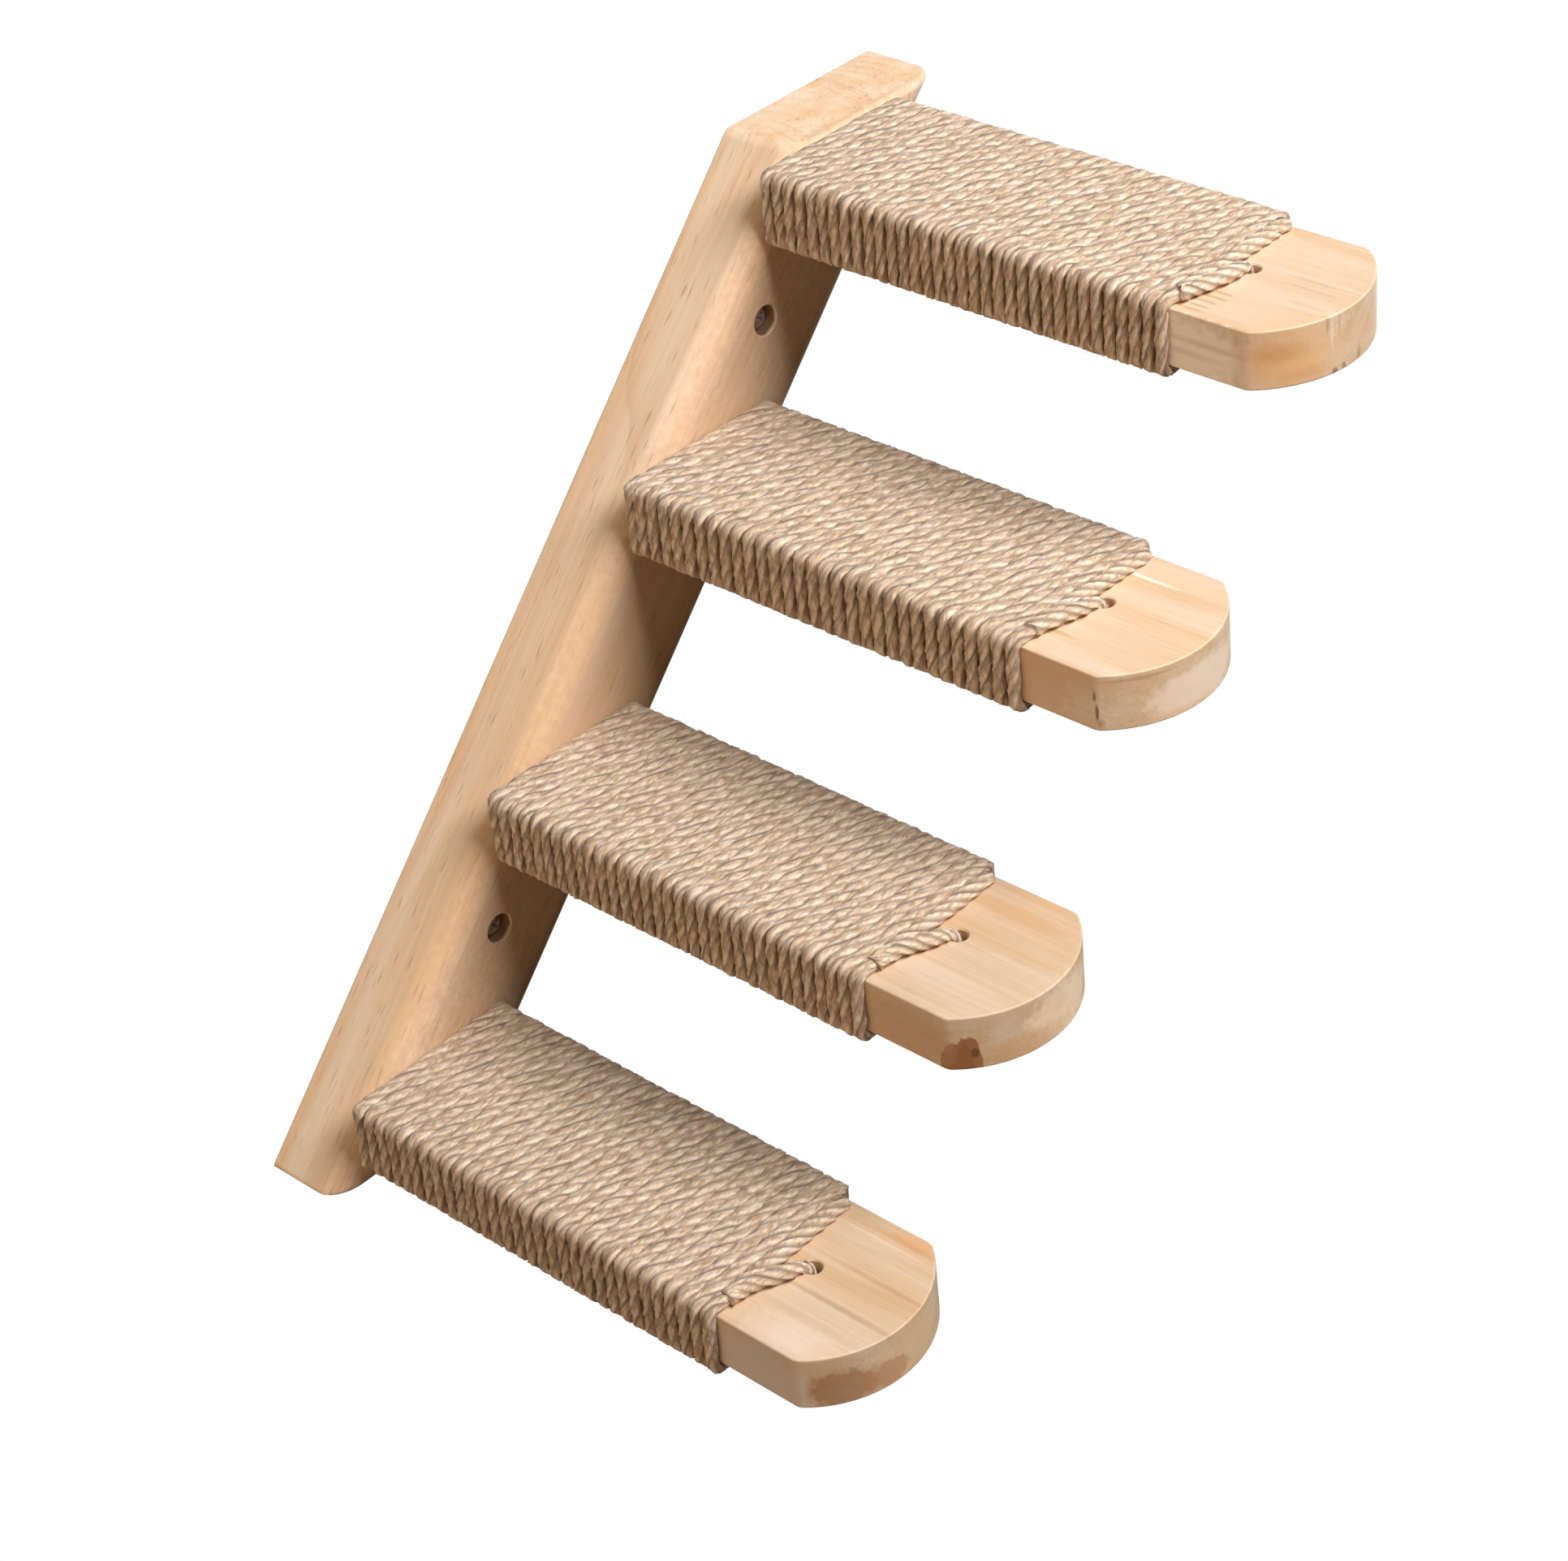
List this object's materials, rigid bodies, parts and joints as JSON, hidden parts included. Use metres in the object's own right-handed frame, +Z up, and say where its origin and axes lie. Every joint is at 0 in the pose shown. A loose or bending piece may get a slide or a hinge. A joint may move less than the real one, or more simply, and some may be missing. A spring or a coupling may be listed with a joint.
{
  "type": "wall-mounted cat climber",
  "caption": "Slanted wooden wall rail with level board steps wound in natural rope, each with a bare rounded tip, for a cat to climb along a wall.",
  "frame": {"origin": "on the rail's back face, against the wall, midway along the rail and across it", "axes": "+X along the wall, the way the rail climbs; +Y into the wall, so the steps reach out to -Y; +Z up"},
  "size_m": [0.3558, 0.2665, 0.2886],
  "materials": {
    "pine": "satin",
    "jute_rope": "matte",
    "zinc_steel": "satin"
  },
  "bodies": {
    "root": {"rail": "pine", "step_1": "pine", "step_2": "pine", "step_3": "pine", "step_4": "pine", "rope_1": "jute_rope", "rope_2": "jute_rope", "rope_3": "jute_rope", "rope_4": "jute_rope", "wall_screw_upper": "zinc_steel", "wall_screw_lower": "zinc_steel", "fixing_screws": "zinc_steel"}
  },
  "joints": []
}
